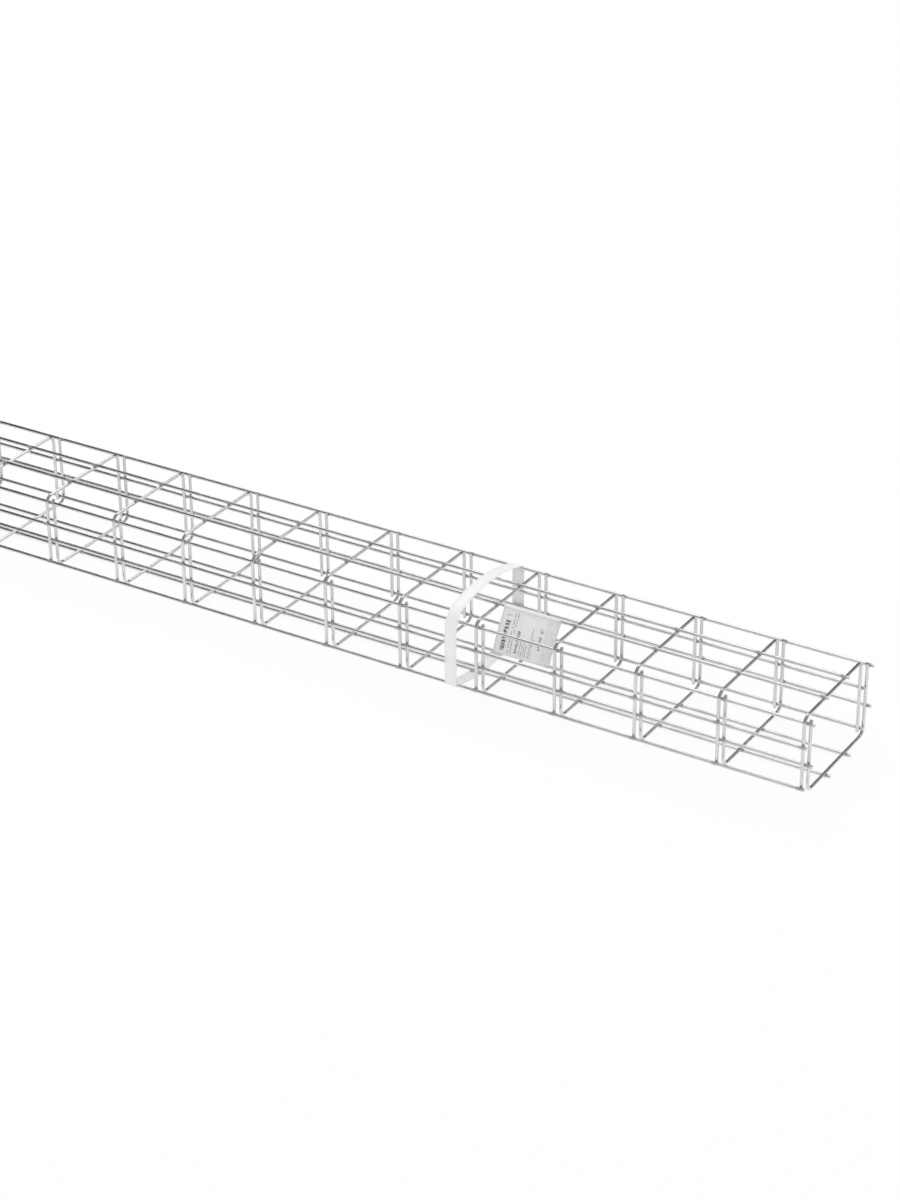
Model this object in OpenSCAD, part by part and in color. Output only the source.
// Pack of two welded wire mesh cable baskets, the second turned over and slid
// into the first to make a closed cage, held by plastic bands.
// X runs along the baskets, Y across them, Z is up, and z = 0 is the floor.

/* [Basket] */
// Number of bent cross wires in one basket
cross_count = 31; // [3:1:31]
// Spacing of the cross wires along the basket
cross_pitch = 100; // [60:5:150]
// How far the line wires run past the axis of the end cross wires
end_overhang = 6; // [4:0.5:20]
// Width over the outer faces of the wall line wires
basket_w = 150; // [120:1:300]
// Spacing of the two line wires under the floor
floor_wire_gap = 50; // [30:1:80]
// Height of the middle wall wire's axis over the floor wires' axes
mid_wire_h = 37.5; // [30:0.5:45]
// Height of the edge wall wire's axis over the floor wires' axes
edge_wire_h = 88; // [70:1:110]
// How far a cross wire's cut end stands past the edge wire's axis
tip_overhang = 3; // [2:0.5:6]

/* [Wire] */
// Diameter of the wires
wire_d = 3.9; // [3:0.1:5]
// How deep two wires sink into each other at a weld
weld_sink = 0.4; // [0.2:0.1:0.8]
// Inside radius of the cross wire's two bends
bend_r = 7; // [6:0.5:12]

/* [Pack] */
// How far the turned basket is set back along the other one
set_back = 4.2; // [4:0.1:30]
// Clearance between a basket's cross wires and the other basket's wall wires
side_gap = 0.2; // [0.1:0.05:1]
// Clearance of an edge wire in the bend that it seats in
seat_gap = 0.1; // [0.05:0.05:0.5]

/* [Band] */
// Width of a band
band_w = 15.5; // [10:0.5:20]
// Thickness of a band
band_t = 0.7; // [0.5:0.1:1.5]
// Bay, counted from the near end, that the near band goes round
near_bay = 5; // [1:1:15]
// Bay, counted from the far end, that the far band goes round
far_bay = 5; // [1:1:15]
// How far past the bay's outer cross wires a band lies
band_from_wire = 35; // [15:1:45]
// How far a band's far side lies back along the baskets
band_skew = 6; // [0:0.5:12]
// Height of the band's slack arch over the turned basket's floor wires
arch_rise = 5.5; // [2:0.5:12]
// How far the arch's peak lies off the pack's middle
peak_offset = 14; // [0:1:20]
// Radius of the shoulder where the arch comes up from the wall
shoulder_r = 28; // [10:1:40]

/* [Label] */
// Length of the label along the basket
label_l = 72; // [40:1:90]
// Bay, counted from the near end, that the label hangs in
label_bay = 4; // [1:1:15]
// How far the label's middle lies past the bay's outer cross wire
label_from_wire = 53; // [50:1:55]
// Thickness of the folded label
label_t = 0.8; // [0.5:0.1:1.5]
// Length of the label's flag below the wire it hangs on
label_drop = 53; // [30:1:70]
// How far the flag's lower edge stands out sideways
label_lean = 25; // [0:1:30]
// How far the flag bows out in its middle
label_bow = 2; // [0:0.5:5]

/* [Hidden] */
// Facets of round wires
wire_fn = 32;
// Gap between a band or the label and the wires that it lies on
fit_gap = 0.03;
// Distance between the axes of two welded wires
weld_c = wire_d - weld_sink;
// Radius of a bend's axis
bend_axis_r = bend_r + wire_d / 2;
// Half the spacing of a cross wire's two legs
leg_y = basket_w / 2 - wire_d / 2 - weld_c;
// Half the spacing of the wall line wires
wall_y = leg_y + weld_c;
// Length between the end cross wires, and overall
run = (cross_count - 1) * cross_pitch;
line_l = run + 2 * end_overhang;
// Sideways shift of the turned basket against the other one
shift_y = weld_c + wire_d + side_gap;
// Rise of a seated edge wire's axis over the floor wires' axes: it rests low in
// the bend of the other basket, with seat_gap between the two round surfaces
seat_side = wall_y - shift_y - (leg_y - bend_axis_r);
seat_reach = bend_axis_r - wire_d - seat_gap;
seat_z = weld_c + bend_axis_r - sqrt(seat_reach * seat_reach - seat_side * seat_side);
// Distance between the floor wires of the two baskets
stack_h = seat_z + edge_wire_h;
// Height of the lower basket's floor wires' axes over the floor
base_z = band_t + fit_gap + wire_d / 2;
// Middle of the pack across
mid_y = shift_y / 2;
// Peak of the bands' slack arch
peak_y = mid_y - peak_offset;
peak_z = base_z + stack_h + wire_d / 2 + arch_rise;
// The arch's crown: how far it drops and reaches from the peak to the top of the
// far edge wire, and the radius of the arc between them
crown_drop = peak_z - base_z - edge_wire_h - wire_d / 2;
crown_reach = mid_y + wall_y - peak_y;
crown_r = (crown_reach * crown_reach + crown_drop * crown_drop) / (2 * crown_drop);
// Centre of the arch's shoulder, which touches the wall and runs on into the crown
shoulder_y = mid_y - shift_y - wall_y - wire_d / 2 + shoulder_r;
shoulder_z = peak_z - crown_r
    + sqrt(pow(crown_r - shoulder_r, 2) - pow(shoulder_y - peak_y, 2));
// Line wires of one basket as [y, z] from its middle and its floor wires
LINES = [
    [-floor_wire_gap / 2, 0], [floor_wire_gap / 2, 0],
    [-wall_y, mid_wire_h], [wall_y, mid_wire_h],
    [-wall_y, edge_wire_h], [wall_y, edge_wire_h]
];

module wire_along_x(l) {
    rotate([0, 90, 0]) cylinder(d = wire_d, h = l, center = true, $fn = wire_fn);
}

// one quarter bend, from the floor run up into the leg at +Y
module wire_bend() {
    translate([0, leg_y - bend_axis_r, weld_c + bend_axis_r])
        rotate([0, 90, 0])
            rotate_extrude(angle = 90, $fn = 96)
                translate([bend_axis_r, 0]) circle(d = wire_d, $fn = wire_fn);
}

// a cross wire: cut rod bent to a U, standing on the line wires of the floor
module cross_wire() {
    flat = 2 * (leg_y - bend_axis_r);
    leg_foot = weld_c + bend_axis_r;
    translate([0, 0, weld_c])
        rotate([90, 0, 0]) cylinder(d = wire_d, h = flat, center = true, $fn = wire_fn);
    for (side = [0, 1]) mirror([0, side, 0]) {
        wire_bend();
        translate([0, leg_y, leg_foot])
            cylinder(d = wire_d, h = edge_wire_h + tip_overhang - leg_foot, $fn = wire_fn);
    }
}

// one basket, its floor wires at z = 0 and its middle at the origin
module basket() {
    union() {
        for (p = LINES) translate([0, p[0], p[1]]) wire_along_x(line_l);
        for (i = [0 : cross_count - 1])
            translate([i * cross_pitch - run / 2, 0, 0]) cross_wire();
    }
}

module upright_basket() {
    color([0.74, 0.75, 0.76])
        translate([set_back / 2, mid_y, base_z]) basket();
}

module turned_basket() {
    color([0.74, 0.75, 0.76])
        translate([-set_back / 2, mid_y - shift_y, base_z + stack_h])
            rotate([180, 0, 0]) basket();
}

// outline of what a band encloses, grown by grow: the wires, and the arch's
// shoulder and crown
module band_core(grow) {
    r = wire_d / 2 + grow;
    hull() {
        for (p = LINES) {
            translate([mid_y + p[0], base_z + p[1]]) circle(r = r, $fn = 24);
            translate([mid_y - shift_y - p[0], base_z + stack_h - p[1]])
                circle(r = r, $fn = 24);
        }
        translate([shoulder_y, shoulder_z]) circle(r = shoulder_r + grow, $fn = 64);
        intersection() {
            translate([peak_y, peak_z - crown_r]) circle(r = crown_r + grow, $fn = 240);
            translate([shoulder_y, peak_z - crown_drop])
                square([peak_y + crown_reach - shoulder_y, crown_drop + 2 * grow]);
        }
    }
}

// a flat plastic band drawn round both baskets, its two edges cut askew
module band() {
    intersection() {
        rotate([90, 0, 90])
            linear_extrude(height = band_w + 2 * band_skew + 2, center = true)
                difference() {
                    band_core(band_t + fit_gap);
                    band_core(fit_gap);
                }
        translate([0, mid_y, stack_h / 2])
            rotate([0, 0, atan(band_skew / (basket_w + shift_y))])
                cube([band_w, 2 * basket_w, 2 * stack_h], center = true);
    }
}

module near_band() {
    color([0.94, 0.94, 0.93])
        translate([run / 2 - (near_bay - 1) * cross_pitch - band_from_wire, 0, 0]) band();
}

module far_band() {
    color([0.94, 0.94, 0.93])
        translate([(far_bay - 1) * cross_pitch + band_from_wire - run / 2, 0, 0]) band();
}

// centre line of the hanging flag, s below the wire's axis and bowed outwards
function flag_y(s) = -label_lean * s / label_drop - label_bow * sin(180 * s / label_drop);

// a sheet stuck to itself round one of the turned basket's floor wires, so that
// it hangs as a flag inside the channel
module label() {
    r = wire_d / 2 + fit_gap;
    steps = [0 : 12];
    flag_end = sqrt(label_drop * label_drop - label_lean * label_lean);
    color([0.85, 0.86, 0.86])
        translate([(run - set_back) / 2 - (label_bay - 1) * cross_pitch - label_from_wire,
                   mid_y - shift_y - floor_wire_gap / 2, base_z + stack_h])
            rotate([90, 0, 90])
                linear_extrude(height = label_l, center = true)
                    difference() {
                        union() {
                            circle(r = r + label_t / 2, $fn = 48);
                            polygon(concat(
                                [for (k = steps) [flag_y(k * label_drop / 12) - label_t / 2,
                                                  -k * flag_end / 12]],
                                [for (k = steps) [flag_y((12 - k) * label_drop / 12) + label_t / 2,
                                                  -(12 - k) * flag_end / 12]]));
                        }
                        circle(r = r, $fn = 48);
                    }
}

upright_basket();
turned_basket();
near_band();
far_band();
label();
